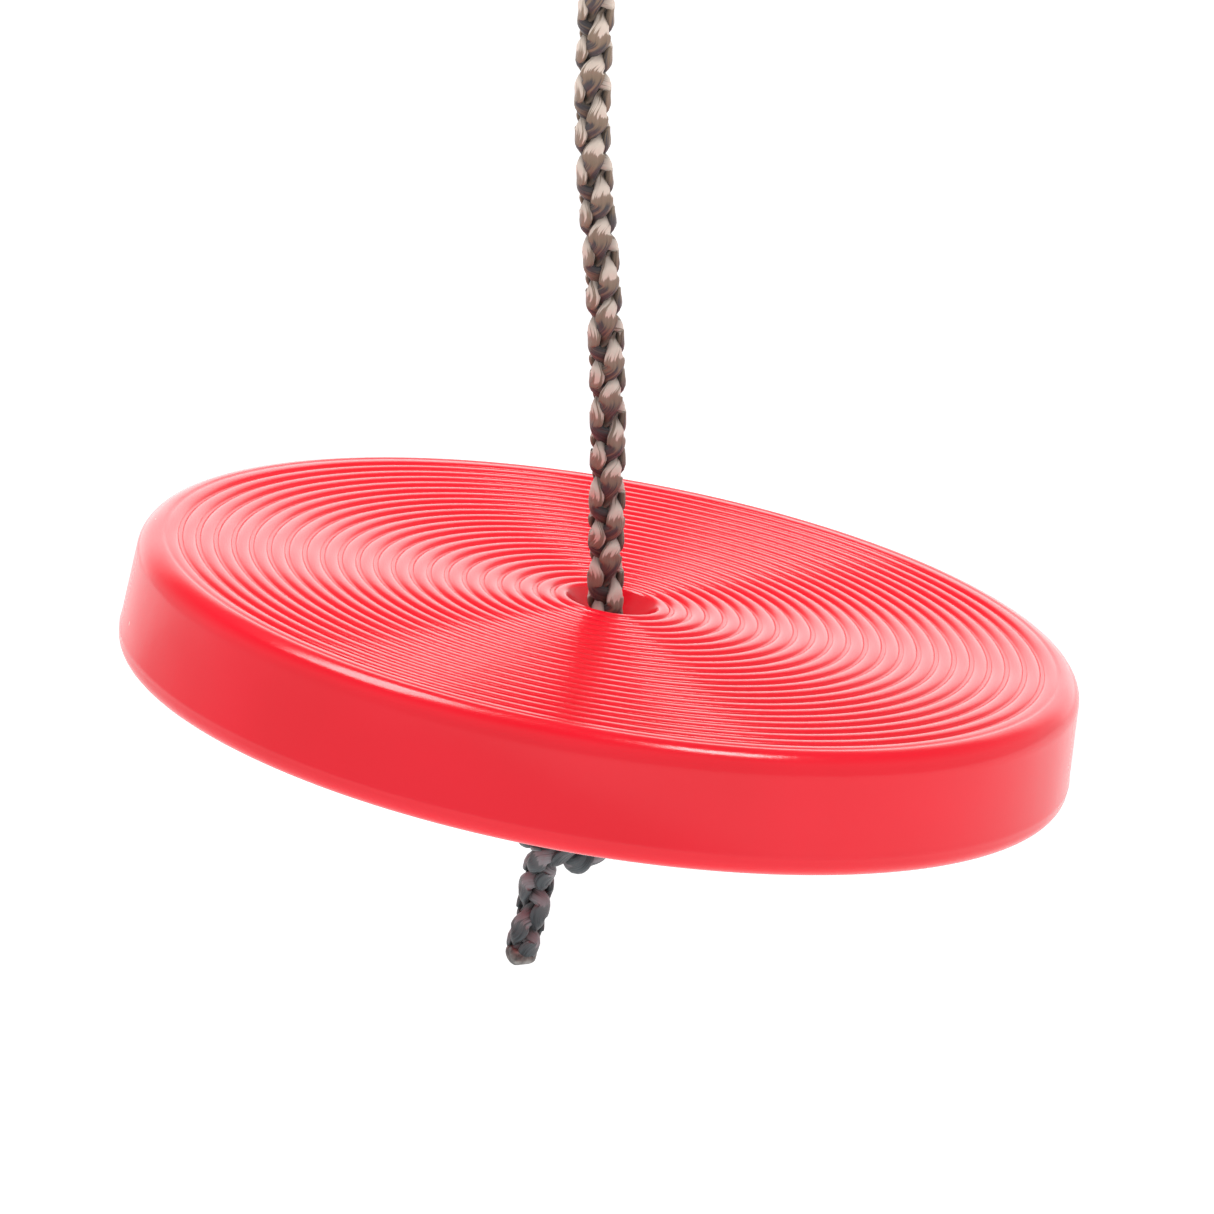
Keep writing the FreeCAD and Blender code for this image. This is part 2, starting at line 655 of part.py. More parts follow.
def make_yoke():
    """The bent strap that is welded under the plate and carries the bolt in two ears."""
    inner, outer = "ear_gap / 2", "(ear_gap / 2 + plate_thick)"
    web_low = (f"-{outer}", "-ear_radius", "-2 * plate_thick")
    web_high = (outer, "ear_radius", "-plate_thick")
    solids = [block("yoke_web", web_low, web_high)]
    for side, low, high in (("right", inner, outer), ("left", f"-{outer}", f"-{inner}")):
        corners = (low, "-ear_radius", PIVOT), (high, "ear_radius", "-plate_thick")
        solids.append(block(f"{side}_ear", *corners))
        solids.append(cylinder(f"{side}_ear_end", "ear_radius", "plate_thick", x=low, z=PIVOT, turn=AXIS_X))
    hole = across("ear_holes", "bolt_radius + bolt_gap", outer, "X", z=PIVOT)
    node(cut("hanger_yoke", fuse("yoke_blank", solids), [hole]), "hanger_yoke")


def hexagon(name, height, x, z):
    prism = bind(doc.addObject("Part::Prism", name), Circumradius="head_flats / sqrt(3)", Height=height)
    prism.Polygon = 6
    return place(prism, x=x, z=z, turn=AXIS_X)


def make_pivot():
    """The pivot bolt with its washers, locking nut and two flanged bushes."""
    ear = "(ear_gap / 2 + plate_thick)"
    seat_face = f"({ear} + washer_thick)"
    shank_end = f"({seat_face} + nut_height + 2)"
    head = hexagon("bolt_head", "head_height", seat_face, PIVOT)
    dome = across("head_chamfer", "head_round", "head_height", "X", x=seat_face, z=PIVOT)
    trimmed = doc.addObject("Part::MultiCommon", "bolt_head_round")
    trimmed.Shapes = [head, dome]
    shank = cylinder(
        "bolt_shank", "bolt_radius", f"{shank_end} + {seat_face}", x=f"-{shank_end}", z=PIVOT, turn=AXIS_X
    )
    node(fuse("pivot_bolt", [trimmed, shank]), "pivot_bolt")
    nut_end = f"-{seat_face} - nut_height"
    nut = fuse(
        "nut_blank",
        [
            hexagon("nut_hex", "nut_hex_height", f"-{seat_face} - nut_hex_height", PIVOT),
            cylinder("nut_collar", "nut_collar", "nut_height", x=nut_end, z=PIVOT, turn=AXIS_X),
        ],
    )
    bore = across("nut_bore", "bolt_radius + bolt_gap", shank_end, "X", z=PIVOT)
    node(cut("pivot_nut", nut, [bore]), "pivot_nut")
    washers = []
    for side, x in (("right", ear), ("left", f"-{seat_face}")):
        where = {"height": "washer_thick", "x": x, "z": PIVOT, "turn": AXIS_X}
        disc = cylinder(f"{side}_washer_blank", "washer_radius", **where)
        hole = cylinder(f"{side}_washer_hole", "bolt_radius + bolt_gap", **where)
        washers.append(cut(f"{side}_washer", disc, [hole]))
    node(group("pivot_washers", washers), "pivot_washers")
    bushes = []
    starts = {
        "right": ("contact_gap", "sleeve_half"),
        "left": ("-sleeve_half", "-sleeve_half - flange_thick"),
    }
    for side, (low, flange) in starts.items():
        on_bolt = {"z": PIVOT, "turn": AXIS_X}
        tube_length = "sleeve_half - contact_gap"
        blank = fuse(
            f"{side}_bush_blank",
            [
                cylinder(f"{side}_bush_tube", "bush_radius", tube_length, x=low, **on_bolt),
                cylinder(f"{side}_bush_flange", "flange_radius", "flange_thick", x=flange, **on_bolt),
            ],
        )
        bore = across(f"{side}_bush_bore", "bolt_radius + bush_fit", "ear_gap", "X", z=PIVOT)
        bushes.append(cut(f"{side}_bush", blank, [bore]))
    node(group("pivot_bushes", bushes), "pivot_bushes")


def make_swing_eye():
    """The forged eye: a sleeve on the bushes, a neck, and a ring for the snap hook."""
    ring = bind(doc.addObject("Part::Torus", "eye_ring"), Radius1="ring_radius", Radius2="ring_section")
    place(ring, z=RING, turn=AXIS_X)
    neck_top, neck_low = f"{PIVOT} - bush_radius - 1", f"{RING} + ring_radius"
    neck = block(
        "eye_neck",
        ("-neck_half", "-neck_width / 2", neck_low),
        ("neck_half", "neck_width / 2", neck_top),
    )
    sleeve = across("eye_sleeve", "sleeve_radius", "sleeve_half", "X", z=PIVOT)
    bore = across("sleeve_bore", "bush_radius", "ear_gap", "X", z=PIVOT)
    node(cut("swing_eye", fuse("swing_eye_blank", [ring, neck, sleeve]), [bore]), "swing_eye")


for make in (
    make_plate,
    make_yoke,
    make_pivot,
    make_swing_eye,
    make_hook_body,
    make_gate,
    make_thimble,
    make_eye_rope,
    make_ferrule,
    make_rope,
    make_seat,
    make_knot,
    make_tail,
):
    make()
doc.recompute()

for item in doc.Objects:
    if any(word in item.State for word in ("Invalid", "Error")):
        raise ValueError(f"{item.Label} did not compute")
for name, item in NODES.items():
    if item.Shape.isNull() or not item.Shape.isValid():
        raise ValueError(f"{name} has no valid shape")

os.makedirs("parts", exist_ok=True)
for name, item in NODES.items():
    item.Shape.exportStep(f"parts/{name}.step")
    print(f"{name}: {item.Shape.Volume:.0f} cubic mm, {len(item.Shape.Solids)} solid(s)")
print(f"bend at z {number(BEND):.2f}, hook bends {number(BEND_TOP):.2f} {number(BEND_LOW):.2f}")
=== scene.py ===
import json
import math

import bmesh
import bpy
import numpy as np
from mathutils import Matrix, Vector


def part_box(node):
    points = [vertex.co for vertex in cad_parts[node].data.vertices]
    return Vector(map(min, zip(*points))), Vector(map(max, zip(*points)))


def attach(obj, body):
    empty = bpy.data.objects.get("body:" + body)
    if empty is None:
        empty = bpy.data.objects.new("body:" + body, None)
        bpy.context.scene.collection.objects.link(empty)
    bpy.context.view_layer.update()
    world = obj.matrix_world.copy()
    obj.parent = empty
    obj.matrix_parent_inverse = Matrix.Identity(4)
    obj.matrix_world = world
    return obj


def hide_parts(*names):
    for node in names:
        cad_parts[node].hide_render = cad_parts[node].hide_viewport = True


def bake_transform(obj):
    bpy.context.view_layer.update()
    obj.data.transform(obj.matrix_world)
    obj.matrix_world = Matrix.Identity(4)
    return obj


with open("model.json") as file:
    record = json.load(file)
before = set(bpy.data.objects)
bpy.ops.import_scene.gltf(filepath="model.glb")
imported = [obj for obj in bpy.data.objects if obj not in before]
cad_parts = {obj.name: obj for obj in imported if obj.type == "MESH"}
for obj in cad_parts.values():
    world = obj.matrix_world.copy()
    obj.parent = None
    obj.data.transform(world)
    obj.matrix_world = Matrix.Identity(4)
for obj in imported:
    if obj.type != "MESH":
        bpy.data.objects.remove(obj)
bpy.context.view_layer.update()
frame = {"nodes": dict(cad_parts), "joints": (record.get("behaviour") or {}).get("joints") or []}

MM = 0.001
FULL_TURN = 2 * math.pi

# The seat, in millimetres, with height 0 at its top face.
SEAT_RADIUS = 140
SEAT_THICK = 36
SIDE_DRAFT = 1.5
TOP_ROUND = 7
BASE_ROUND = 4.5
STEP_WIDTH = 1.0
STEP_DEPTH = 0.25
ROUND_STEPS = 256

# The ridge where the mould's halves met: its foot, crown and upper edge over the base's rounding,
# how far it stands out, and how far the wall above it sits in.
RIDGE_FOOT = 1.0
RIDGE_CROWN = 1.6
RIDGE_TOP = 2.2
RIDGE_HEIGHT = 0.15
WALL_SINK = 0.02

# The grip grooves of the top, with a rounded rib between each two.
GROOVE_FIRST = 17.7
GROOVE_PITCH = 5.25
GROOVE_COUNT = 22
GROOVE_FLOOR = 1.15
GROOVE_DEPTH = 0.9
RIB_FLATNESS = 2.0
RIB_STEPS = 12

# The funnel and the throat that the rope goes through, with eased edges.
LIP_RADIUS = 13.9
LIP_ROUND = 1.9
LIP_OVERHANG = 1.1
FUNNEL_HEAD_IN = 1.6
FUNNEL_HEAD_DOWN = 2.7
THROAT_RADIUS = 6.5
THROAT_DEPTH = 12
THROAT_EASE_DOWN = 1
THROAT_EASE_UP = 0.4
THROAT_EASE_OUT = 0.5
EXIT_FLARE = 2.5

# The blind cones and the blow hole of the underside.
CONE_COUNT = 6
CONE_CIRCLE = 86
CONE_MOUTH = 12
CONE_MOUTH_ROUND = 2.0
CONE_TIP = 4
CONE_TIP_ROUND = 2
CONE_DEPTH = 31
CONE_STEPS = 48
VENT_RADIUS = 2.5
VENT_OFFSET = 45
VENT_DEPTH = 9
VENT_EASE_OUT = 0.4
VENT_EASE_IN = 0.5
VENT_STEPS = 32

# The rope, in millimetres.
ROPE_RADIUS = 5.0
ROPE_LEAN = -42
FERRULE_GRIP = 12
KNOT_START = 36.3
KNOT_OVERLAP = 3
TAIL_END = -115.6
LEG_SPACE = 5.5
EYE_CENTRE_DROP = -6.7
CROWN_SPREAD = 1.081
CROWN_START = -20
CROWN_STEP = 44
CROWN_POINTS = 6

# Its braid: strands as (way round, starting angle), with a plain core inside them.
BRAID_PITCH = 24.2
BRAID_STEP = 0.6
STRANDS = [(1, 0), (1, math.pi), (-1, 0), (-1, math.pi)]
CORE = (0, 0)
CORE_RADIUS = 2.3

# A strand: its section, how far out it lies, how both change where it passes the others, the
# relief of its yarns, and how its width comes and goes along the rope.
STRAND_WIDTH = 7.0
STRAND_THICK = 2.7
STRAND_SIDES = 32
STRAND_LIFT = 2.6
STRAND_WEAVE = 1.25
PASSING_LIFT = 0.5
PASSING_NARROWS = 1.8
PASSING_THICKENS = 1.3
YARNS_ROUND_STRAND = 9
YARN_RELIEF = 0.02
BREATH = 0.04
BREATH_LENGTH = 7.3
BREATH_SHIFT = (2.1, 1.3)

# How sharply a strand crosses over, by its way round (the core doesn't), and how it wanders.
CROSS_OVER = {1: 0.52, -1: 0.84, 0: 0.0}
STRIDE_WANDER = 0.16
SIDE_WANDER = 0.2

# A drawn-in end's thickness, and the girths of pattern between one strand's fibres and the next's.
DRAWN_END = 0.55
PATTERN_SHIFT = 3

# The melted bead: its height in millimetres; its other sizes are shares of a radius.
SEAL_HEIGHT = 2.6
SEAL_WIDTH = 0.93
SEAL_FLATNESS = 0.72
SEAL_FOOT = 0.6
SEAL_STEPS = 48

joints = {joint["name"]: joint for joint in frame["joints"]}
bend = Vector(joints["seat_spin"]["pos_m"])
seat_up = Vector(joints["seat_spin"]["axis"]).normalized()
hook_level = joints["eye_rock"]["pos_m"][2] / MM
across_seat = Vector((0, 1, 0)).cross(seat_up).normalized()
seat_place = Matrix(
    (
        (across_seat.x, 0, seat_up.x, 0),
        (across_seat.y, 1, seat_up.y, 0),
        (across_seat.z, 0, seat_up.z, 0),
        (0, 0, 0, 1),
    )
)
seat_place.translation = bend + seat_up * THROAT_DEPTH * MM
ferrule_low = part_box("eye_ferrule")[0].z / MM
ferrule_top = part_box("eye_ferrule")[1].z / MM
eye_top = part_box("eye_rope")[1].z / MM
bend_level = bend.z / MM


# ---------------------------------------------------------------- meshes


def put(name, data):
    """Makes an object of the data and puts it in the scene."""
    made = bpy.data.objects.new(name, data)
    bpy.context.scene.collection.objects.link(made)
    return made


class Shell:
    """Points and faces of a surface that is built ring by ring, in millimetres."""

    def __init__(self):
        self.points = []
        self.faces = []

    def ring(self, radius, height, sides, centre=(0, 0)):
        """Adds a level circle of points and returns their numbers."""
        first = len(self.points)
        for i in range(sides):
            turn = FULL_TURN * i / sides
            x = centre[0] + radius * math.cos(turn)
            self.points.append((x, centre[1] + radius * math.sin(turn), height))
        return list(range(first, first + sides))

    def bridge(self, low, high):
        """Joins two rings of the same count with a band of faces."""
        sides = len(low)
        for i in range(sides):
            j = (i + 1) % sides
            self.faces.append((low[i], low[j], high[j], high[i]))

    def lathe(self, outline, sides, centre=(0, 0)):
        """Turns an outline of (radius, height) points; returns its first and last ring."""
        rings = [self.ring(radius, height, sides, centre) for radius, height in outline]
        for low, high in zip(rings, rings[1:]):
            self.bridge(low, high)
        return rings[0], rings[-1]

    def cap(self, ring, height, centre):
        """Closes a ring with a fan of triangles about one point."""
        tip = len(self.points)
        self.points.append((centre[0], centre[1], height))
        for i, number in enumerate(ring):
            self.faces.append((number, ring[(i + 1) % len(ring)], tip))

    def piece(self, name, place, sharp=()):
        """
        Makes the object, smooth-shaded. The rings in sharp are rims of one flat face: it is filled
        in between them, and the shading breaks at each rim.
        """
        mesh = bpy.data.meshes.new(name)
        points = [Vector(point) * MM for point in self.points]
        mesh.from_pydata(points, [], self.faces)
        made = put(name, mesh)
        made.matrix_world = place
        solid = bmesh.new()
        solid.from_mesh(mesh)
        solid.verts.ensure_lookup_table()
        for ring in sharp:
            for i, number in enumerate(ring):
                ends = solid.verts[number], solid.verts[ring[(i + 1) % len(ring)]]
                solid.edges.get(ends).smooth = False
        if sharp:
            rims = [edge for edge in solid.edges if not edge.smooth]
            bmesh.ops.triangle_fill(solid, edges=rims, use_beauty=True)
        bmesh.ops.recalc_face_normals(solid, faces=solid.faces)
        for face in solid.faces:
            face.smooth = True
        solid.to_mesh(mesh)
        solid.free()
        return made


def arc(centre, radius, start, end, steps):
    """Points of an arc, in degrees, as (radius, height) pairs."""
    turns = [math.radians(start + (end - start) * i / steps) for i in range(steps + 1)]
    return [(centre[0] + radius * math.cos(t), centre[1] + radius * math.sin(t)) for t in turns]


def spline(points):
    """The smooth line of a NURBS spline through a frame of given points, in millimetres."""
    curve = bpy.data.curves.new("route", "CURVE")
    curve.dimensions = "3D"
    curve.resolution_u = 16
    route = curve.splines.new("NURBS")
    route.points.add(len(points) - 1)
    for spot, point in zip(route.points, points):
        spot.co = (*point, 1)
    route.order_u = 3
    route.use_endpoint_u = True
    holder = put("route", curve)
    bpy.context.view_layer.update()
    line = bpy.data.meshes.new_from_object(holder)
    found = np.array([vertex.co for vertex in line.vertices], float)
    bpy.data.objects.remove(holder)
    return found


def evenly(line, step):
    """The same line with points at equal distances, and the distance of each along it."""
    runs = np.linalg.norm(np.diff(line, axis=0), axis=1)
    along = np.concatenate([[0], np.cumsum(runs)])
    count = max(2, round(along[-1] / step) + 1)
    marks = np.linspace(0, along[-1], count)
    spaced = np.stack([np.interp(marks, along, line[:, k]) for k in range(3)], axis=1)
    return spaced, marks


def unit(rows):
    """Each row of a table of vectors, at length one."""
    return rows / np.linalg.norm(rows, axis=-1, keepdims=True)


def carried_sides(line, first_side):
    """Two directions square to the line at each of its points, carried along without twist."""
    ahead = unit(np.gradient(line, axis=0))
    side = np.array(first_side, float)
    sides = []
    for direction in ahead:
        side = side - direction * side.dot(direction)
        side /= np.linalg.norm(side)
        sides.append(side)
    sides = np.array(sides)
    return sides, np.cross(ahead, sides)


def strand(line, sides_of_line, along, way, half_turn, shape):
    """
    One strand's rings of points about the rope's line, how far each point lies from that line in
    rope radii, and where each ring is in its stitch, from -1 at the foot to 1 at the head.
    """
    right, up = sides_of_line
    phase = FULL_TURN * along / BRAID_PITCH
    stride = phase + STRIDE_WANDER * np.cos(phase)
    # Over the others a strand runs nearly straight along the rope; under them it crosses over.
    angle = way * stride - CROSS_OVER[way] * np.sin(2 * stride) + half_turn + shape["lean"]
    angle += SIDE_WANDER * np.cos(phase)
    over = way * np.cos(2 * stride)
    passing = np.sin(2 * stride) ** 2
    lift = STRAND_LIFT + STRAND_WEAVE * over + PASSING_LIFT * passing
    out = right * np.cos(angle)[:, None] + up * np.sin(angle)[:, None]
    middle = line + out * (lift * shape["tight"])[:, None]
    heading = unit(np.gradient(middle, axis=0))
    thick_way = unit(out - heading * np.sum(out * heading, axis=1, keepdims=True))
    wide_way = np.cross(heading, thick_way)
    by_turn, by_way = BREATH_SHIFT
    breath = 1 + BREATH * np.sin(along / BREATH_LENGTH + by_turn * half_turn + by_way * way)
    wide = (STRAND_WIDTH - PASSING_NARROWS * passing) / 2 * breath * shape["tight"]
    thick = (STRAND_THICK + PASSING_THICKENS * passing) / 2 / breath * shape["tight"]
    if (way, half_turn) == CORE:
        middle, thick_way, wide_way = line, right, up
        wide = thick = CORE_RADIUS * shape["tight"]
    around = np.linspace(0, FULL_TURN, STRAND_SIDES, endpoint=False)
    yarns = 1 + YARN_RELIEF * np.cos(YARNS_ROUND_STRAND * around)
    ring = (
        middle[:, None, :]
        + wide_way[:, None, :] * (wide[:, None] * np.cos(around) * yarns)[..., None]
        + thick_way[:, None, :] * (thick[:, None] * np.sin(around) * yarns)[..., None]
    )
    reach = np.linalg.norm(ring - line[:, None, :], axis=2) / ROPE_RADIUS
    head = -way * np.sin(2 * stride)
    return ring, reach, head


def braid(name, route, first_side, lean=0.0, tight=1.0, tone=(0, 0), drawn_in=0.0):
    """
    A round braid of four strands about a route: two wind one way, two the other, and each
    passes over and under. The first strand starts at first_side. Lean is how far the braid
    turns over its whole length, in degrees. Tight is its thickness over the rope's own, and
    drawn_in the length of a narrowed end. Tone is 0 for pale and 1 for dark, at each end.
    Returns the object and its middle line in metres.
    """
    line, along = evenly(route, BRAID_STEP)
    sides_of_line = carried_sides(line, first_side)
    share = along / along[-1]
    shape = {
        "lean": math.radians(lean) * share,
        "tight": np.full_like(along, tight),
    }
    if drawn_in:
        left = np.clip((along[-1] - along) / drawn_in, 0, 1)
        shape["tight"] *= DRAWN_END + (1 - DRAWN_END) * np.sqrt(1 - (1 - left) ** 2)
    rows, sides = len(line), STRAND_SIDES
    points, faces = [], []
    layers = {"across_mm": [], "along_mm": [], "reach": [], "tone": [], "stitch_head": []}
    row, column = np.meshgrid(np.arange(rows - 1), np.arange(sides), indexing="ij")
    here, beside = row * sides + column, row * sides + (column + 1) % sides
    quads = np.stack([here, beside, beside + sides, here + sides], axis=-1).reshape(-1, 4)
    girth = math.pi * (STRAND_WIDTH + STRAND_THICK) / 2
    for number, (way, half_turn) in enumerate([*STRANDS, CORE]):
        ring, reach, head = strand(line, sides_of_line, along, way, half_turn, shape)
        first = number * rows * sides
        points.append(ring.reshape(-1, 3))
        faces += (quads + first).tolist()
        faces.append([first + i for i in reversed(range(sides))])
        faces.append([first + (rows - 1) * sides + i for i in range(sides)])
        across = girth * (np.arange(sides) / sides + PATTERN_SHIFT * number)
        layers["across_mm"].append(np.tile(across, rows))
        layers["along_mm"].append(np.repeat(along, sides))
        layers["reach"].append((reach / tight).reshape(-1))
        layers["stitch_head"].append(np.repeat(head, sides))
        layers["tone"].append(np.repeat(tone[0] + (tone[1] - tone[0]) * share, sides))
    mesh = bpy.data.meshes.new(name)
    mesh.from_pydata(np.concatenate(points) * MM, [], faces)
    mesh.polygons.foreach_set("use_smooth", [len(face) == 4 for face in faces])
    for label, values in layers.items():
        layer = mesh.attributes.new(label, "FLOAT", "POINT")
        layer.data.foreach_set("value", np.concatenate(values).astype(np.float32))
    return put(name, mesh), line * MM


# ---------------------------------------------------------------- the seat


def rib(middle, half_width, start=-1.0):
    """A grip rib's outline to its outer foot, from its inner foot (-1) or its crown (0)."""
    steps = RIB_STEPS if start < 0 else RIB_STEPS // 2
    points = []
    for i in range(steps + 1):
        share = start + (1 - start) * i / steps
        share = math.sin(share * math.pi / 2)
        height = GROOVE_DEPTH * math.sqrt(max(0, 1 - abs(share) ** RIB_FLATNESS)) - GROOVE_DEPTH
        points.append((middle + half_width * share, height))
    return points


def seat_outline():
    """The seat's outline from the rope's hole in the underside, over the top and down the side."""
    rib_half = (GROOVE_PITCH - GROOVE_FLOOR) / 2
    slope = math.degrees(math.atan2(THROAT_DEPTH, LIP_RADIUS - THROAT_RADIUS))
    outline = arc((THROAT_RADIUS + EXIT_FLARE, EXIT_FLARE - SEAT_THICK), EXIT_FLARE, 270, 180, 8)
    outline += [
        (THROAT_RADIUS, -SEAT_THICK / 2),
        (THROAT_RADIUS, -THROAT_DEPTH - THROAT_EASE_DOWN),
        (THROAT_RADIUS + THROAT_EASE_OUT, -THROAT_DEPTH + THROAT_EASE_UP),
        (LIP_RADIUS - FUNNEL_HEAD_IN, -FUNNEL_HEAD_DOWN),
    ]
    outline += arc((LIP_RADIUS + LIP_OVERHANG, -LIP_ROUND), LIP_ROUND, 90 + slope, 90, 8)
    outline += rib(GROOVE_FIRST - GROOVE_FLOOR / 2 - rib_half, rib_half, start=0.0)
    for i in range(1, GROOVE_COUNT):
        outline += rib(GROOVE_FIRST + (i - 0.5) * GROOVE_PITCH, rib_half)
    last_groove = GROOVE_FIRST + (GROOVE_COUNT - 1) * GROOVE_PITCH
    crown = last_groove + GROOVE_PITCH / 2
    outline += [(2 * crown - r, z) for r, z in reversed(rib(crown, rib_half, start=0.0))]
    step = SEAT_RADIUS - TOP_ROUND - STEP_WIDTH
    outline += [(step, 0), (step + STEP_WIDTH / 2, -STEP_DEPTH)]
    outline += arc((SEAT_RADIUS - TOP_ROUND, -TOP_ROUND), TOP_ROUND, 90, 0, 14)
    low = BASE_ROUND - SEAT_THICK
    foot = SEAT_RADIUS + SIDE_DRAFT * (1 - BASE_ROUND / SEAT_THICK)
    outline += [
        (foot - WALL_SINK, low + RIDGE_TOP),
        (foot + RIDGE_HEIGHT, low + RIDGE_CROWN),
        (foot, low + RIDGE_FOOT),
    ]
    outline += arc((foot - BASE_ROUND, low), BASE_ROUND, 0, -90, 10)
    return outline


def make_seat():
    """The blow-moulded disc: one skin, with six blind cones and a blow hole in its underside."""
    shell = Shell()
    inner, outer = shell.lathe(seat_outline(), ROUND_STEPS)
    rims = [inner, outer]
    lip_centre = (CONE_MOUTH + CONE_MOUTH_ROUND, CONE_MOUTH_ROUND - SEAT_THICK)
    tip_centre = (CONE_TIP - CONE_TIP_ROUND, CONE_DEPTH - SEAT_THICK - CONE_TIP_ROUND)
    lip = arc(lip_centre, CONE_MOUTH_ROUND, 270, 195, 6)
    tip = arc(tip_centre, CONE_TIP_ROUND, 0, 80, 5)
    for i in range(CONE_COUNT):
        turn = FULL_TURN * i / CONE_COUNT
        centre = (CONE_CIRCLE * math.cos(turn), CONE_CIRCLE * math.sin(turn))
        mouth, top = shell.lathe([*lip, *tip], CONE_STEPS, centre)
        shell.cap(top, CONE_DEPTH - SEAT_THICK, centre)
        rims.append(mouth)
    vent = (0, VENT_OFFSET)
    bore = [
        (VENT_RADIUS + VENT_EASE_OUT, -SEAT_THICK),
        (VENT_RADIUS, VENT_EASE_IN - SEAT_THICK),
        (VENT_RADIUS, VENT_DEPTH - SEAT_THICK),
    ]
    mouth, top = shell.lathe(bore, VENT_STEPS, vent)
    shell.cap(top, VENT_DEPTH - SEAT_THICK, vent)
    rims.append(mouth)
    seat = shell.piece("moulded_seat", seat_place, rims)
    seat.data.materials.append(moulded_polyethylene())
    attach(seat, "seat")
    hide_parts("seat_disc")


# ---------------------------------------------------------------- the rope


def on_seat(points):
    """Points given in the seat's own tilted frame, as points of the whole object's frame."""
    return [tuple(seat_place @ (Vector(point) * MM) / MM) for point in points]


def round_seat_axis(turn, radius, height):
    """A point of the seat's frame by its angle about the axis, in degrees (0 right, 270 front)."""
    return (
        radius * math.cos(math.radians(turn)),
        radius * math.sin(math.radians(turn)),
        height,
    )


def make_main_rope():
    """The taut rope from the ferrule through the seat's throat, with its slight set curves."""
    hanging = [
        (0.0, 0, ferrule_low + FERRULE_GRIP),
        (0.2, 0, ferrule_low),
        (0.4, 0, ferrule_low - 12),
        (-1.7, 0, ferrule_low - 44),
        (-1.5, 0, ferrule_low - 64),
        (0.5, 0, ferrule_low - 94),
        (1.7, 0, ferrule_low - 122),
        (1.5, 0, ferrule_low - 150),
        (0.4, 0, bend_level + 26),
        (0.0, 0, bend_level + 10),
        (0.0, 0, bend_level),
    ]
    through_seat = on_seat([(0, 0, -24), (0, 0, -KNOT_START - KNOT_OVERLAP)])
    rope, line = braid(
        "hanging_rope",
        spline([*hanging, *through_seat]),
        first_side=(0, -1, 0),
        lean=ROPE_LEAN,
        tone=(0.0, 0.5),
    )
    rope.data.materials.append(braided_polypropylene())
    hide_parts("main_rope", "rope_core")
    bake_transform(rope)
    return rope, line


def make_knot():
    """The stopper: the rope goes under a bight, winds up round itself and tucks to its tail."""
    turns = [
        (0, 0, -28), (0, 0, -42), (60, 3, -54), (40, 4, -64), (20, 3, -74), (340, 3.4, -81),
        (320, 8, -76), (5, 9.5, -70), (75, 11.2, -68), (130, 11.6, -70.5), (180, 12.6, -75.5),
        (230, 11.6, -71.5), (280, 11.3, -68.5), (335, 11.3, -64.5), (30, 11.3, -60.5),
        (85, 11.3, -59), (140, 11.3, -60.5), (190, 11.3, -63), (240, 11.3, -61),
        (290, 11.3, -58), (345, 11.3, -54), (40, 11.3, -51), (95, 11.3, -50), (150, 11.3, -51),
        (200, 11.3, -52.5), (250, 11.3, -50.5), (300, 11.3, -48), (355, 11.3, -44.5),
        (50, 11.3, -42.5), (105, 11.3, -42), (160, 11.3, -42), (215, 11, -42.2), (262, 10, -43),
        (300, 5, -49), (320, 5, -60), (290, 6.5, -67), (245, 7.5, -75), (200, 8, -82),
    ]
    tail = [(-7.6, 0, -90), (-7.2, 0, -98), (-8.4, 0, -107), (-8.6, 0, TAIL_END + SEAL_HEIGHT)]
    route = on_seat([round_seat_axis(*turn) for turn in turns] + tail)
    knot, line = braid(
        "stopper_knot_rope",
        spline(route),
        first_side=(0, -1, 0),
        tight=0.96,
        # Painted shadow: the knot is drawn all in the dark tone, for the shade under the seat.
        tone=(1.0, 1.0),
        drawn_in=6.0,
    )
    knot.data.materials.append(braided_polypropylene())
    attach(knot, "knot")
    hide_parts("stopper_knot", "rope_tail")
    return knot, line


def make_seal(line):
    """The melted bead that stops the tail from fraying: a low, slightly lopsided dome."""
    end = Vector(line[-1])
    ahead = (end - Vector(line[-6])).normalized()
    shell = Shell()
    radius = SEAL_WIDTH * ROPE_RADIUS
    dome = arc((0, 0), radius, -35, 82, 14)
    foot, top = shell.lathe([(r, SEAL_FLATNESS * z) for r, z in dome], SEAL_STEPS)
    shell.cap(top, SEAL_FLATNESS * radius, (0, 0))
    shell.cap(foot, -SEAL_FOOT * radius, (0, 0))
    for i, (x, y, z) in enumerate(shell.points):
        turn = math.atan2(y, x)
        swell = 1 + 0.07 * math.sin(3 * turn + 0.6) + 0.04 * math.sin(5 * turn + z)
        shell.points[i] = (x * swell, y * swell, z * (1 + 0.12 * math.sin(2 * turn)))
    place = ahead.to_track_quat("Z", "Y").to_matrix().to_4x4()
    place.translation = end + ahead * (SEAL_HEIGHT - SEAL_FLATNESS * radius) * MM
    seal = shell.piece("tail_seal", place)
    seal.data.materials.append(melted_polypropylene())
    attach(seal, "knot")
    return seal


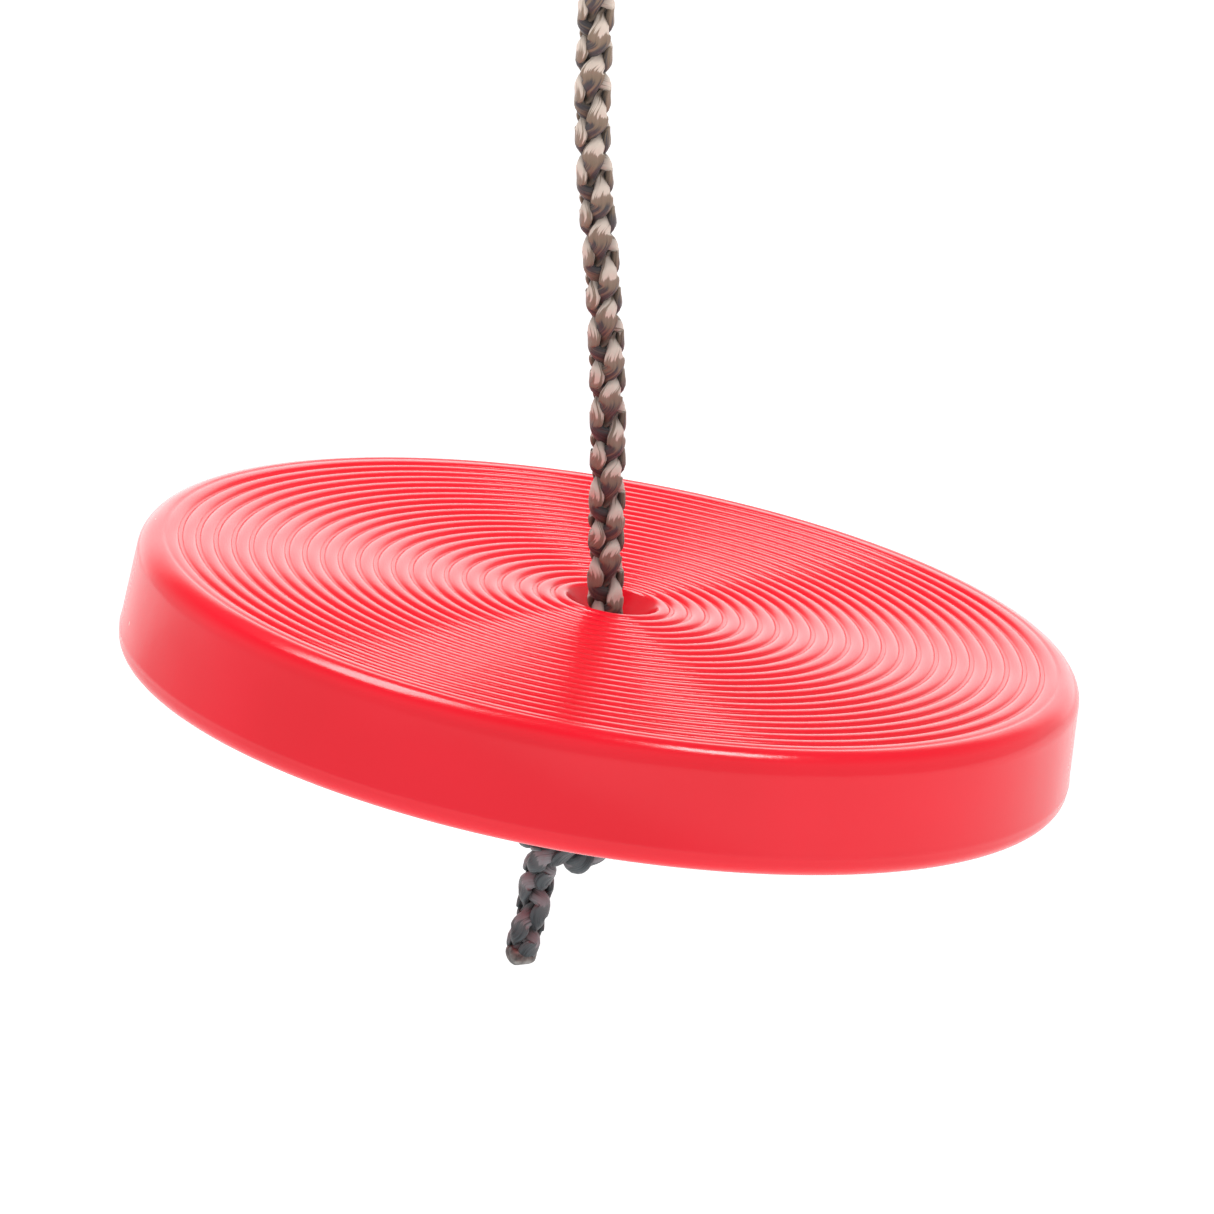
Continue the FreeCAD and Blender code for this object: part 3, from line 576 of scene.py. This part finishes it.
def make_eye_rope():
    """The rope's loop round the thimble, its two legs side by side in the ferrule."""
    crown_radius = eye_top - hook_level - EYE_CENTRE_DROP - ROPE_RADIUS
    centre = hook_level + EYE_CENTRE_DROP
    leg = [
        (LEG_SPACE, ferrule_top - FERRULE_GRIP),
        (LEG_SPACE, ferrule_top - 1),
        (LEG_SPACE + 0.7, ferrule_top + 8),
        (LEG_SPACE + 5.9, ferrule_top + 22),
    ]
    turns = [math.radians(CROWN_START + CROWN_STEP * i) for i in range(CROWN_POINTS)]
    reach = crown_radius * CROWN_SPREAD
    crown = [(reach * math.cos(turn), centre + reach * math.sin(turn)) for turn in turns]
    other_leg = [(-y, z) for y, z in reversed(leg)]
    route = [(0, y, z) for y, z in [*leg, *crown, *other_leg]]
    eye, _ = braid(
        "eye_loop_rope", spline(route), first_side=(1, 0, 0), tone=(0.1, 0.1), tight=0.99
    )
    eye.data.materials.append(braided_polypropylene())
    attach(eye, "rope")
    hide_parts("eye_rope")
    return eye


# ---------------------------------------------------------------- materials

# How far drag marks are drawn out up the side, and the strength of a stitch's painted highlight and
# shade.
DRAG_STRETCH = 0.06
HEAD_PAINTED_LIGHT = 0.34

# The tufts of fibres on the rope, in millimetres.
TUFT_WIDTH = 0.35
TUFT_LENGTH = 9


def linear(colour):
    """A colour written as sRGB hex, as the linear values that a shader takes."""
    parts = [int(colour[i : i + 2], 16) / 255 for i in (1, 3, 5)]
    return (*(c / 12.92 if c <= 0.04045 else ((c + 0.055) / 1.055) ** 2.4 for c in parts), 1)


def repeat(size):
    """The texture scale at which one repeat of the pattern is this many millimetres."""
    return 1 / (size * MM)


def add(tree, kind, settings=None, links=None):
    """Adds a node; settings are its properties and socket values, links what feeds its sockets."""
    node = tree.nodes.new(kind)
    for key, value in (settings or {}).items():
        if key == "stops":
            ramp = node.color_ramp
            while len(ramp.elements) < len(value):
                ramp.elements.new(1)
            for element, (position, colour) in zip(ramp.elements, value):
                element.position = position
                element.color = linear(colour)
        elif isinstance(key, str) and hasattr(node, key):
            setattr(node, key, value)
        else:
            node.inputs[key].default_value = value
    for key, source in (links or {}).items():
        tree.links.new(source, node.inputs[key])
    return node


def material(name, settings):
    """
    A material with one shader; settings that are the same all over go on its own sockets. It is
    made once: asked for again, it comes back as it is, with no tree and no shader.
    """
    made = bpy.data.materials.get(name)
    if made:
        return made, None, None
    made = bpy.data.materials.new(name)
    made.use_nodes = True
    tree = made.node_tree
    shader = tree.nodes["Principled BSDF"]
    for key, value in settings.items():
        shader.inputs[key].default_value = value
    return made, tree, shader


def moulded_polyethylene():
    """
    High-density polyethylene, blow-moulded in red: deep, even colour with a soft wax-like gloss,
    a fine sandblasted mould grain, slow waves where the skin has shrunk, fine upright drag marks
    on the side, and a few pale nicks.
    """
    made, tree, shader = material("red_moulded_polyethylene", {"IOR": 1.5})
    if tree is None:
        return made
    place = add(tree, "ShaderNodeTexCoord").outputs["Object"]
    parts = add(tree, "ShaderNodeSeparateXYZ", links={0: place})
    x, y, z = parts.outputs
    turn = add(tree, "ShaderNodeMath", {"operation": "ARCTAN2"}, {0: y, 1: x}).outputs[0]
    # Drag marks run up the side: 2.4 mm apart round the rim, and as long as the side is high.
    girth = add(
        tree, "ShaderNodeMath", {"operation": "MULTIPLY", 1: SEAT_RADIUS * MM}, {0: turn}
    ).outputs[0]
    rise = add(
        tree, "ShaderNodeMath", {"operation": "MULTIPLY", 1: DRAG_STRETCH}, {0: z}
    ).outputs[0]
    unrolled = add(tree, "ShaderNodeCombineXYZ", links={0: girth, 1: rise}).outputs[0]
    drag = add(
        tree, "ShaderNodeTexNoise", {"Scale": repeat(2.4), "Detail": 3.0}, {"Vector": unrolled}
    ).outputs["Fac"]
    # They fade in over the first 6 mm below the top face.
    on_side = add(
        tree, "ShaderNodeMapRange", {"From Min": -1 * MM, "From Max": -6 * MM}, {"Value": z}
    ).outputs[0]
    # The mould's grain is finer than this; it is drawn 0.9 mm wide so that it shows.
    grain = add(
        tree, "ShaderNodeTexNoise", {"Scale": repeat(0.9), "Detail": 4.0}, {"Vector": place}
    ).outputs["Fac"]
    waves = add(
        tree, "ShaderNodeTexNoise", {"Scale": repeat(45), "Detail": 1.0}, {"Vector": place}
    ).outputs["Fac"]
    # At most one nick in every 36 mm or so, about 1 mm across and longer up the side.
    nick_place = add(
        tree, "ShaderNodeVectorMath", {"operation": "MULTIPLY", 1: (1.6, 1, 0.7)}, {0: place}
    ).outputs[0]
    spots = add(
        tree, "ShaderNodeTexVoronoi", {"Scale": repeat(36)}, {"Vector": nick_place}
    ).outputs["Distance"]
    nicks = add(
        tree, "ShaderNodeMapRange", {"From Min": 0.016, "From Max": 0.010}, {"Value": spots}
    ).outputs[0]
    body = add(
        tree,
        "ShaderNodeValToRGB",
        {"stops": [(0.35, "#F20A24"), (0.65, "#F70C28")]},
        {"Fac": waves},
    ).outputs["Color"]
    colour = add(
        tree,
        "ShaderNodeMix",
        {"data_type": "RGBA", 7: linear("#F0A49C")},
        {0: nicks, 6: body},
    ).outputs[2]
    rough = add(
        tree,
        "ShaderNodeMapRange",
        {"From Min": 0.3, "From Max": 0.7, "To Min": 0.15, "To Max": 0.22},
        {"Value": grain},
    ).outputs[0]
    side_drag = add(
        tree, "ShaderNodeMath", {"operation": "MULTIPLY"}, {0: drag, 1: on_side}
    ).outputs[0]
    bumps = None
    for height, strength, depth in ((waves, 0.25, 3), (side_drag, 0.15, 0.3), (grain, 0.06, 0.3)):
        links = {"Height": height} if bumps is None else {"Height": height, "Normal": bumps}
        settings = {"Strength": strength, "Distance": depth * MM}
        bumps = add(tree, "ShaderNodeBump", settings, links).outputs["Normal"]
    tree.links.new(colour, shader.inputs["Base Color"])
    tree.links.new(rough, shader.inputs["Roughness"])
    tree.links.new(bumps, shader.inputs["Normal"])
    return made


def braided_polypropylene():
    """
    Polypropylene multifilament yarn in brown, laid in a four-strand braid: fine fibres along each
    strand with a soft sheen, painted highlight in cream at each stitch's head, painted shade at its
    foot and between the strands, and a dark slate tone, mixed in towards the seat on the hanging
    rope and in full on the knot as painted shadow under the seat. It reads the lengths in
    millimetres that the braid has stored in its points.
    """
    settings = {"IOR": 1.49, "Roughness": 0.5, "Sheen Weight": 0.25, "Sheen Roughness": 0.4}
    made, tree, shader = material("braided_polypropylene", settings)
    if tree is None:
        return made
    across, along, reach, tone, head = (
        add(tree, "ShaderNodeAttribute", {"attribute_name": name}).outputs["Fac"]
        for name in ("across_mm", "along_mm", "reach", "tone", "stitch_head")
    )
    # Single fibres are finer than 0.1 mm; they are drawn as tufts of 0.35 by 9 mm, which show.
    wide = add(
        tree, "ShaderNodeMath", {"operation": "MULTIPLY", 1: 1 / TUFT_WIDTH}, {0: across}
    ).outputs[0]
    long = add(
        tree, "ShaderNodeMath", {"operation": "MULTIPLY", 1: 1 / TUFT_LENGTH}, {0: along}
    ).outputs[0]
    lay = add(tree, "ShaderNodeCombineXYZ", links={0: wide, 1: long}).outputs[0]
    fibres = add(
        tree, "ShaderNodeTexNoise", {"Scale": 1.0, "Detail": 3.0, "Roughness": 0.6}, {"Vector": lay}
    ).outputs["Fac"]
    # A yarn is four tufts wide.
    yarn_lay = add(
        tree, "ShaderNodeVectorMath", {"operation": "MULTIPLY", 1: (0.25, 0.55, 1)}, {0: lay}
    ).outputs[0]
    yarns = add(
        tree, "ShaderNodeTexNoise", {"Scale": 1.0, "Detail": 2.0}, {"Vector": yarn_lay}
    ).outputs["Fac"]
    tufts = add(
        tree, "ShaderNodeMath", {"operation": "MULTIPLY_ADD", 1: 0.5}, {0: fibres, 2: yarns}
    ).outputs[0]
    # Painted highlight and shade: each stitch is pale at its upper end and dark at its foot.
    tufts_and_painted_light = add(
        tree, "ShaderNodeMath", {"operation": "MULTIPLY_ADD", 1: HEAD_PAINTED_LIGHT}, {0: head, 2: tufts}
    ).outputs[0]
    pale = add(
        tree,
        "ShaderNodeValToRGB",
        {"stops": [(0.42, "#4A4649"), (0.58, "#89745F"), (0.93, "#9A8471"), (1.15, "#E8D6C7")]},
        {"Fac": tufts_and_painted_light},
    ).outputs["Color"]
    dark = add(
        tree,
        "ShaderNodeValToRGB",
        {"stops": [(0.42, "#1C2429"), (0.58, "#3A4448"), (0.93, "#4B5153"), (1.15, "#78767A")]},
        {"Fac": tufts_and_painted_light},
    ).outputs["Color"]
    toned = add(
        tree, "ShaderNodeMix", {"data_type": "RGBA"}, {0: tone, 6: pale, 7: dark}
    ).outputs[2]
    # Little light gets down between the strands, to points well inside the rope's own radius.
    shade = add(
        tree,
        "ShaderNodeMapRange",
        {"From Min": 0.62, "From Max": 1.0, "To Min": 0.18, "To Max": 1.08},
        {"Value": reach},
    ).outputs[0]
    colour = add(
        tree, "ShaderNodeVectorMath", {"operation": "SCALE"}, {0: toned, "Scale": shade}
    ).outputs[0]
    fibre_bump = add(
        tree, "ShaderNodeBump", {"Strength": 0.7, "Distance": 0.35 * MM}, {"Height": fibres}
    ).outputs["Normal"]
    yarn_bump = add(
        tree,
        "ShaderNodeBump",
        {"Strength": 0.6, "Distance": 0.6 * MM},
        {"Height": yarns, "Normal": fibre_bump},
    ).outputs["Normal"]
    tree.links.new(colour, shader.inputs["Base Color"])
    tree.links.new(yarn_bump, shader.inputs["Normal"])
    return made


def melted_polypropylene():
    """The same polypropylene after a flame: fused, dark and uneven, with a dull gloss."""
    made, tree, shader = material("melted_polypropylene", {"IOR": 1.49, "Roughness": 0.42})
    if tree is None:
        return made
    place = add(tree, "ShaderNodeTexCoord").outputs["Object"]
    lumps = add(
        tree, "ShaderNodeTexNoise", {"Scale": repeat(2.2), "Detail": 4.0}, {"Vector": place}
    ).outputs["Fac"]
    colour = add(
        tree,
        "ShaderNodeValToRGB",
        {"stops": [(0.35, "#3A3634"), (0.55, "#66605C"), (0.75, "#8E8984")]},
        {"Fac": lumps},
    ).outputs["Color"]
    bump = add(
        tree, "ShaderNodeBump", {"Strength": 0.8, "Distance": 0.7 * MM}, {"Height": lumps}
    ).outputs["Normal"]
    tree.links.new(colour, shader.inputs["Base Color"])
    tree.links.new(bump, shader.inputs["Normal"])
    return made


def metal(name, colours, rough, grain_mm, bump_mm, stretch=(1, 1, 1)):
    """
    A metal whose tone, roughness and surface vary with one grain of a real size and with slow
    clouds. Colours and rough give the two ends of its range, and stretch draws the grain out.
    """
    made, tree, shader = material(name, {"Metallic": 1.0})
    if tree is None:
        return made
    place = add(tree, "ShaderNodeTexCoord").outputs["Object"]
    scaled = add(
        tree, "ShaderNodeVectorMath", {"operation": "MULTIPLY", 1: stretch}, {0: place}
    ).outputs[0]
    grain = add(
        tree,
        "ShaderNodeTexNoise",
        {"Scale": repeat(grain_mm), "Detail": 4.0, "Roughness": 0.6},
        {"Vector": scaled},
    ).outputs["Fac"]
    cloud = add(
        tree, "ShaderNodeTexNoise", {"Scale": repeat(11), "Detail": 2.0}, {"Vector": place}
    ).outputs["Fac"]
    both = add(
        tree, "ShaderNodeMath", {"operation": "MULTIPLY_ADD", 1: 0.5}, {0: grain, 2: cloud}
    ).outputs[0]
    stops = [(0.55, colours[0]), (0.95, colours[1])]
    colour = add(tree, "ShaderNodeValToRGB", {"stops": stops}, {"Fac": both}).outputs["Color"]
    polish = add(
        tree,
        "ShaderNodeMapRange",
        {"From Min": 0.5, "From Max": 1.0, "To Min": rough[0], "To Max": rough[1]},
        {"Value": both},
    ).outputs[0]
    bump = add(
        tree, "ShaderNodeBump", {"Strength": 0.5, "Distance": bump_mm * MM}, {"Height": grain}
    ).outputs["Normal"]
    tree.links.new(colour, shader.inputs["Base Color"])
    tree.links.new(polish, shader.inputs["Roughness"])
    tree.links.new(bump, shader.inputs["Normal"])
    return made


def hot_dip_zinc():
    """Steel dipped in molten zinc: a cloudy grey with soft spangles and a slightly rippled coat."""
    return metal("hot_dip_zinc", ("#8D9296", "#C4C8CB"), (0.38, 0.55), 3.5, 0.12)


def bright_zinc():
    """Steel rod and fasteners with electroplated zinc: cool, bright and finely drawn."""
    return metal("bright_zinc", ("#A9AFB6", "#DADEE2"), (0.18, 0.32), 0.8, 0.03)


def pressed_aluminium():
    """Soft aluminium squeezed in a die: pale and satin, with fine marks along the press stroke."""
    return metal("satin_aluminium", ("#A3A6A8", "#CFD1D2"), (0.30, 0.46), 1.2, 0.06, (1, 1, 0.12))


def spring_steel():
    """Hard drawn steel wire and pins, left bright: dark grey with a clear shine."""
    return metal("drawn_spring_steel", ("#7E8286", "#AEB2B6"), (0.16, 0.28), 0.5, 0.02)


def turned_nylon():
    """Natural nylon, turned: milky, faintly translucent and matt, with fine tool marks."""
    settings = {"IOR": 1.53, "Subsurface Weight": 0.15, "Subsurface Scale": 0.002}
    made, tree, shader = material("turned_nylon", settings)
    if tree is None:
        return made
    place = add(tree, "ShaderNodeTexCoord").outputs["Object"]
    marks_place = add(
        tree, "ShaderNodeVectorMath", {"operation": "MULTIPLY", 1: (1, 0.1, 0.1)}, {0: place}
    ).outputs[0]
    marks = add(
        tree, "ShaderNodeTexNoise", {"Scale": repeat(0.6), "Detail": 2.0}, {"Vector": marks_place}
    ).outputs["Fac"]
    colour = add(
        tree, "ShaderNodeValToRGB", {"stops": [(0.3, "#DAD6C8"), (0.7, "#EEEBE0")]}, {"Fac": marks}
    ).outputs["Color"]
    rough = add(
        tree, "ShaderNodeMapRange", {"To Min": 0.42, "To Max": 0.6}, {"Value": marks}
    ).outputs[0]
    bump = add(
        tree, "ShaderNodeBump", {"Strength": 0.4, "Distance": 0.05 * MM}, {"Height": marks}
    ).outputs["Normal"]
    tree.links.new(colour, shader.inputs["Base Color"])
    tree.links.new(rough, shader.inputs["Roughness"])
    tree.links.new(bump, shader.inputs["Normal"])
    return made


def finish_hardware():
    """Gives every metal and nylon part of the frame its material."""
    finishes = {
        hot_dip_zinc: ["ceiling_plate", "hanger_yoke", "swing_eye", "eye_thimble"],
        bright_zinc: ["pivot_bolt", "pivot_nut", "pivot_washers", "hook_body", "hook_gate"],
        pressed_aluminium: ["eye_ferrule"],
        spring_steel: ["gate_hinge_pin", "gate_nose_pin", "gate_plunger", "gate_spring"],
        turned_nylon: ["pivot_bushes"],
    }
    for make, names in finishes.items():
        for name in names:
            item = frame["nodes"][name]
            if not item.material_slots:
                item.data.materials.append(None)
            for slot in item.material_slots:
                slot.material = make()


# ---------------------------------------------------------------- studio

# The camera: lengths in millimetres, angles in degrees, and its reach in metres.
CAMERA_DISTANCE = 3000
CAMERA_LENS = 303.7
CAMERA_SENSOR = 36
CAMERA_ELEVATION = 16.23
CAMERA_ROLL = 0.86
CAMERA_RIGHT = 1.65
CAMERA_UP = 2.4
CAMERA_REACH = 100

# The floor, in metres, and how much it glows by itself so that it stays white.
FLOOR_DROP = 3.2
FLOOR_HALF = 30
FLOOR_GLOW = 0.65

# How brightly the room, the ceiling over it and the lit screen at its back shine.
ROOM_LIGHT = 0.77
CEILING_LIGHT = 0.25
SCREEN_LIGHT = 1.8
SEEN_LIGHT = 1.0

# Where each begins and ends, as the part of a sight line that points back or up, which is 1 for
# straight back or straight up, and how far the ceiling leans down at the back.
SCREEN_SIDE = (0.72, 0.93)
SCREEN_TOP = (0.62, 0.38)
CEILING_SPAN = (0.5, 0.9)
CEILING_LEAN = 0.5

# Each soft box: name, place from the seat's middle in metres, width and height, and watts.
SOFT_BOXES = [
    ("overhead_box", (0.82, 0.06, 1.71), (0.5, 0.4), 10),
    ("back_box", (-0.38, 0.47, 1.8), (1.0, 0.7), 21),
]


def make_camera():
    """A long lens a little above the seat, rolled by under a degree."""
    lift, roll = math.radians(CAMERA_ELEVATION), math.radians(CAMERA_ROLL)
    level = Vector((1, 0, 0))
    rise = Vector((0, math.sin(lift), math.cos(lift)))
    back = Vector((0, -math.cos(lift), math.sin(lift)))
    right = math.cos(roll) * level - math.sin(roll) * rise
    up = math.sin(roll) * level + math.cos(roll) * rise
    camera = put("camera", bpy.data.cameras.new("camera"))
    camera.data.sensor_width = CAMERA_SENSOR
    camera.data.lens = CAMERA_LENS
    camera.data.clip_end = CAMERA_REACH
    turned = Matrix((right, up, back)).transposed().to_4x4()
    offset = back * CAMERA_DISTANCE - right * CAMERA_RIGHT - up * CAMERA_UP
    turned.translation = seat_place.translation + offset * MM
    camera.matrix_world = turned
    bpy.context.scene.camera = camera


def make_studio():
    """
    A white floor far below and a white room that darkens towards its ceiling, with a lit screen
    at its back and two soft boxes, one overhead and to the right, one behind.
    """
    mesh = bpy.data.meshes.new("floor")
    corners = [(-1, -1), (1, -1), (1, 1), (-1, 1)]
    spots = [(FLOOR_HALF * x, FLOOR_HALF * y, -FLOOR_DROP) for x, y in corners]
    mesh.from_pydata(spots, [], [(0, 1, 2, 3)])
    floor = put("floor", mesh)
    white = linear("#FFFFFF")
    paint = {
        "Roughness": 0.9,
        "Base Color": linear("#F4F4F4"),
        "Emission Color": white,
        "Emission Strength": FLOOR_GLOW,
    }
    mesh.materials.append(material("white_floor_paint", paint)[0])
    world = bpy.data.worlds.new("white_room")
    world.use_nodes = True
    bpy.context.scene.world = world
    tree = world.node_tree
    glow = tree.nodes["Background"]
    glow.inputs["Color"].default_value = white
    sight = add(tree, "ShaderNodeTexCoord").outputs["Generated"]
    _, back, height = add(tree, "ShaderNodeSeparateXYZ", links={0: sight}).outputs
    edges = []
    for (start, end), share in ((SCREEN_SIDE, back), (SCREEN_TOP, height)):
        soft = {"interpolation_type": "SMOOTHSTEP", "From Min": start, "From Max": end}
        edges.append(add(tree, "ShaderNodeMapRange", soft, {"Value": share}).outputs[0])
    screen = add(
        tree, "ShaderNodeMath", {"operation": "MULTIPLY"}, {0: edges[0], 1: edges[1]}
    ).outputs[0]
    overhead = add(
        tree, "ShaderNodeMath", {"operation": "MULTIPLY_ADD", 1: CEILING_LEAN}, {0: back, 2: height}
    ).outputs[0]
    start, end = CEILING_SPAN
    ceiling = add(
        tree,
        "ShaderNodeMapRange",
        {"From Min": start, "From Max": end, "To Min": ROOM_LIGHT, "To Max": CEILING_LIGHT},
        {"Value": overhead},
    ).outputs[0]
    room = add(
        tree, "ShaderNodeMix", {"data_type": "FLOAT", 3: SCREEN_LIGHT}, {0: screen, 2: ceiling}
    ).outputs[0]
    # The backdrop itself is plain white.
    seen = add(tree, "ShaderNodeLightPath").outputs["Is Camera Ray"]
    power = add(
        tree, "ShaderNodeMix", {"data_type": "FLOAT", 3: SEEN_LIGHT}, {0: seen, 2: room}
    ).outputs[0]
    tree.links.new(power, glow.inputs["Strength"])
    for name, place, size, watts in SOFT_BOXES:
        light = bpy.data.lights.new(name, "AREA")
        light.shape = "RECTANGLE"
        light.size, light.size_y = size
        light.energy = watts
        lamp = put(name, light)
        lamp.location = seat_place.translation + Vector(place)
        lamp.rotation_mode = "QUATERNION"
        lamp.rotation_quaternion = (-Vector(place)).to_track_quat("-Z", "Y")
        lamp.visible_camera = False
    bpy.context.scene.view_settings.view_transform = "Standard"


make_camera()
make_studio()
make_seat()
main_rope, main_line = make_main_rope()
knot, knot_line = make_knot()
seal = make_seal(knot_line)
eye_rope = make_eye_rope()
finish_hardware()
